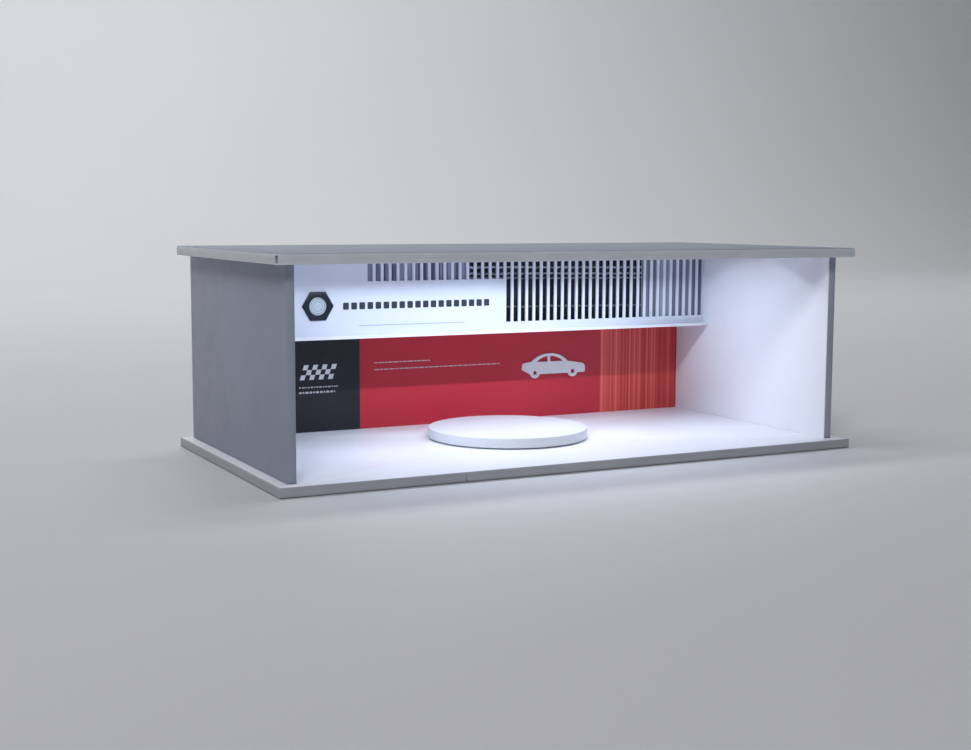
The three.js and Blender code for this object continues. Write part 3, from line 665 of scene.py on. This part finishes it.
def backdrop_graphics():
    """The backdrop's small marks: a chequered strip, two rows under it, and two fine rows on the red."""
    squares, side, slant = [], 2.55 * MM, 0.32
    left, low = -91.4 * MM, 31.5 * MM
    for column in range(7):
        for row in range(3):
            if (column + row) % 2:
                continue
            corners = [(column, row), (column + 1, row), (column + 1, row + 1), (column, row + 1)]
            squares.append([(left + side * (c + slant * r), low + side * r) for c, r in corners])
    add_plates("chequered_strip", squares, BACKDROP_FACE, MATERIALS["white_badge"], "white_badge")
    lines = dashes(-91.8 * MM, -70.6 * MM, 27.2 * MM, 0.85 * MM, (1.1 * MM, 1.6 * MM, 0.8 * MM), 0.4 * MM)
    lines += dashes(-91.8 * MM, -72.2 * MM, 24.5 * MM, 1.0 * MM, (1.5 * MM, 0.9 * MM, 1.9 * MM), 0.45 * MM)
    add_plates("strip_rows", lines, BACKDROP_FACE, PALE_INK, "white_badge")
    fine = dashes(-50.4 * MM, -18.3 * MM, 38.5 * MM, 0.5 * MM, (2.1 * MM, 3.4 * MM, 1.5 * MM), 0.4 * MM)
    fine += dashes(-50.4 * MM, 23.8 * MM, 34.9 * MM, 0.5 * MM, (3.1 * MM, 1.7 * MM, 2.6 * MM), 0.4 * MM)
    add_plates("red_field_rows", fine, BACKDROP_FACE, PALE_INK, "white_badge")


def quarter_round(radius, height, edge, start, steps=5):
    """The quarter circle of a rolled edge, as (radius, height) points about its centre."""
    angles = [math.radians(start + 90 * i / steps) for i in range(steps + 1)]
    return [(radius + edge * math.cos(angle), height + edge * math.sin(angle)) for angle in angles]


def fine_disc():
    """The turntable's disc on many more sides, with a rolled edge and a pocket under it for the hub."""
    edge, inner = 0.55 * MM, 20 * MM
    bottom, top = DISC_LOW.z, DISC_HIGH.z
    roll = (DISC_HIGH.x - DISC_LOW.x) / 2 - edge
    hub_low, hub_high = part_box("turntable_hub")
    pocket = (hub_high.x - hub_low.x) / 2 + 0.1 * MM
    profile = [(pocket, hub_high.z), (pocket, bottom), (inner, bottom)]
    profile += quarter_round(roll, bottom + edge, edge, -90)
    profile += quarter_round(roll, top - edge, edge, 0)
    profile.append((inner, top))
    loops = turned_loops(profile, (DISC_CENTRE.x, DISC_CENTRE.y, 0), (0, 0, 1), 192)
    looks = [MATERIALS["white_disc"]]
    piece = add_piece("turntable_disc_finished", *loft(loops), looks, "white_disc", "turntable")
    finish_surface(piece)
    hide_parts("turntable_disc")


def fine_chips():
    """Each LED chip as a white package with a sunken window of lit phosphor."""
    rim, window, sunk = 0.08 * MM, 0.5 * MM, 0.22 * MM
    for name in CHIP_NAMES:
        low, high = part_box(name)
        middle = middle_of(name)
        half_x, half_y = (high.x - low.x) / 2, (high.y - low.y) / 2

        def loop(inset, z):
            outline = rounded_bar(-half_x + inset, half_x - inset, -half_y + inset, half_y - inset, 0.3 * MM)
            return [(middle.x + x, middle.y - y, z) for x, y in outline]

        loops = [loop(0, high.z), loop(0, low.z + rim), loop(rim, low.z), loop(window - rim, low.z),
                 loop(window, low.z + sunk)]
        points, faces = loft(loops)
        indices = [0] * (len(faces) - 1) + [1]
        materials = [MATERIALS["led_chip"], PHOSPHOR]
        piece = add_piece(name + "_package", points, faces, materials, "led_chip", "case", indices)
        finish_surface(piece)
        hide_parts(name)


def led_details():
    """The LED board's solder pads between its segments, and its resistors with their end caps."""
    middle_y = middle_of("led_board").y
    chips = [middle_of(name) for name in CHIP_NAMES]

    def block(x, y, half_length, half_width, height, corner):
        outline = rounded_bar(x - half_length, x + half_length, y - half_width, y + half_width, corner)
        return plate_below(outline, LED_UNDERSIDE, height)

    pads, resistors, ends = [], [], []
    for first, second in zip(chips, chips[1:]):
        for side in (-1, 1):
            for offset in (-0.9 * MM, 0.9 * MM):
                x = (first.x + second.x) / 2 + offset
                y = middle_y + side * 2.4 * MM
                pads.append(block(x, y, 0.7 * MM, 0.8 * MM, 0.03 * MM, 0.3 * MM))
    for chip in chips[::3]:
        x = chip.x + 6 * MM
        resistors.append(block(x, middle_y, 1 * MM, 0.6 * MM, 0.5 * MM, 0.08 * MM))
        for side in (-1, 1):
            cap_x = x + side * 0.92 * MM
            ends.append(block(cap_x, middle_y, 0.22 * MM, 0.64 * MM, 0.55 * MM, 0.1 * MM))
    add_piece("led_board_pads", *joined(pads), [COPPER], "jack_metal")
    add_piece("led_resistors", *joined(resistors), [MATERIALS["jack_plastic"]], "jack_plastic")
    add_piece("led_resistor_ends", *joined(ends), [SOLDER], "jack_metal")


def solder_joint(name, centre, radius, height, axis):
    """A blob of solder: a low dome with a hollow foot."""
    profile = [(radius, 0), (0.86 * radius, 0.22 * height), (0.66 * radius, 0.55 * height),
               (0.42 * radius, 0.85 * height), (0.12 * radius, height)]
    piece = add_piece(name, *loft(turned_loops(profile, centre, axis, 24)), [SOLDER], "jack_metal")
    finish_surface(piece)


def lead_solder():
    """Solder where the leads start on the LED board and where they end on the jack's tabs."""
    for pole, up in (("positive", 1), ("negative", -1)):
        lead, tab = f"led_lead_{pole}", f"power_jack_tab_{pole}"
        low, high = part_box(lead)
        start = (low.x + 0.1 * MM, low.y + 0.6 * MM, LED_UNDERSIDE)
        solder_joint(lead + "_solder", start, 0.9 * MM, 0.75 * MM, (0, 0, -1))
        tab_low, tab_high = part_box(tab)
        face = tab_high.z if up > 0 else tab_low.z
        end = (middle_of(tab).x, high.y - 0.9 * MM, face)
        solder_joint(tab + "_solder", end, 0.95 * MM, 1.0 * MM, (0, 0, up))


def fine_jack():
    """The power jack's body on many more sides, with a bevelled rim."""
    low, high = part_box("power_jack_body")
    middle = middle_of("power_jack_body")
    centre, outwards = (middle.x, high.y, middle.z), (0, 1, 0)
    flange, barrel, socket = (high.x - low.x) / 2, 3.9 * MM, 3.15 * MM
    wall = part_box("back_wall")[1].y
    inside, seat = low.y - high.y, wall - high.y
    rim, axis, floor = 0.35 * MM, 0.05 * MM, -9.5 * MM
    profile = [
        (axis, inside), (barrel - rim, inside), (barrel, inside + rim), (barrel, seat), (flange, seat),
        (flange, -rim), (flange - rim, 0), (socket + rim, 0), (socket, -rim), (socket, floor), (axis, floor),
    ]
    loops = turned_loops(profile, centre, outwards, 96)
    piece = add_piece("power_jack_moulding", *loft(loops), [MATERIALS["jack_plastic"]], "jack_plastic")
    finish_surface(piece)
    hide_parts("power_jack_body")
    bore, deep, shallow = socket - 0.2 * MM, floor + 0.1 * MM, -0.5 * MM
    sleeve = [(socket, deep), (bore, deep), (bore, shallow), (socket, shallow), (socket, deep)]
    tube = loft(turned_loops(sleeve, centre, outwards, 64), False, False)
    piece = add_piece("power_jack_sleeve", *tube, [MATERIALS["jack_metal"]], "jack_metal")
    finish_surface(piece)


# ---- Studio --------------------------------------------------------------------------------------

LED_POWER = 0.0124
LED_COLOUR = (0.79, 0.875, 1.0)
WORLD_STRENGTH = 0.08
STAND_MIDDLE = (0, 0, 50 * MM)
SOFTBOXES = (  # name, place, target, size in metres, watts and colour
    ("key", (-1.65, -2.2, 2.3), STAND_MIDDLE, (1.0, 1.0), 49.0, (0.97, 0.96, 1.0)),
    ("backdrop", (0.0, 0.9, 2.4), (0, 2.5, 0.7), (3.2, 0.9), 60.0, (1.0, 1.0, 1.0)),
)


def add_floor():
    """A pale floor that bends up into a backdrop far behind the stand."""
    half_width, near, bend, radius, top = 4.0, -3.0, 1.6, 0.9, 2.6
    path = [(near, 0.0), (bend, 0.0)]
    steps = 16
    for i in range(1, steps + 1):
        angle = math.pi / 2 * i / steps
        path.append((bend + radius * math.sin(angle), radius * (1 - math.cos(angle))))
    path.append((bend + radius, top))
    below = 0.05 * MM
    points = [(x, y, z - below) for y, z in path for x in (-half_width, half_width)]
    faces = [(2 * i, 2 * i + 1, 2 * i + 3, 2 * i + 2) for i in range(len(path) - 1)]
    mesh = bpy.data.meshes.new("studio_floor")
    mesh.from_pydata(points, [], faces)
    mesh.materials.append(studio_paper())
    mesh.polygons.foreach_set("use_smooth", [True] * len(faces))
    floor = bpy.data.objects.new("studio_floor", mesh)
    bpy.context.scene.collection.objects.link(floor)


def aim(place, target):
    """The rotation that points a light or camera at place towards target."""
    return (Vector(target) - Vector(place)).to_track_quat("-Z", "Y").to_euler()


def add_softbox(name, place, target, size, power, colour):
    light = bpy.data.lights.new(name, "AREA")
    light.shape = "RECTANGLE"
    light.size, light.size_y = size
    light.energy = power
    light.color = colour
    lamp = bpy.data.objects.new(name, light)
    lamp.location = place
    lamp.rotation_euler = aim(place, target)
    bpy.context.scene.collection.objects.link(lamp)


def add_led_light():
    """A small downward light at each LED chip."""
    for name in CHIP_NAMES:
        middle, underside = middle_of(name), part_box(name)[0].z
        light = bpy.data.lights.new(name + "_light", "AREA")
        light.shape = "DISK"
        light.size = 2.2 * MM
        light.energy = LED_POWER
        light.color = LED_COLOUR
        lamp = bpy.data.objects.new(name + "_light", light)
        lamp.location = (middle.x, middle.y, underside - 0.15 * MM)
        bpy.context.scene.collection.objects.link(lamp)


def add_studio():
    world = bpy.data.worlds.new("studio")
    world.use_nodes = True
    background = world.node_tree.nodes["Background"]
    background.inputs["Color"].default_value = (0.93, 0.95, 1.0, 1.0)
    background.inputs["Strength"].default_value = WORLD_STRENGTH
    bpy.context.scene.world = world
    for softbox in SOFTBOXES:
        add_softbox(*softbox)
    add_led_light()
    add_floor()


def add_camera():
    """The camera at the place, direction and focal length found by fitting the stand's corners."""
    place, lens = (-338.85 * MM, -627.25 * MM, 116.28 * MM), 53.28
    yaw, down, roll = (math.radians(angle) for angle in (27.154, 6.4076, 0.211))
    forward = Vector((math.sin(yaw) * math.cos(down), math.cos(yaw) * math.cos(down), -math.sin(down)))
    level = Vector((math.cos(yaw), -math.sin(yaw), 0))
    upright = level.cross(forward)
    right = math.cos(roll) * level + math.sin(roll) * upright
    up = -math.sin(roll) * level + math.cos(roll) * upright
    camera = bpy.data.cameras.new("camera")
    camera.sensor_width = 36.0
    camera.lens = lens
    camera.clip_start = 0.01
    camera.clip_end = 30.0
    holder = bpy.data.objects.new("camera", camera)
    turn = Matrix((right, up, -forward)).transposed().to_4x4()
    holder.matrix_world = Matrix.Translation(place) @ turn
    bpy.context.scene.collection.objects.link(holder)
    bpy.context.scene.camera = holder


add_camera()
dress_nodes()
sign_graphics()
nut_graphics()
backdrop_graphics()
fine_disc()
fine_chips()
led_details()
lead_solder()
fine_jack()
add_studio()
bpy.context.scene.view_settings.view_transform = "Standard"
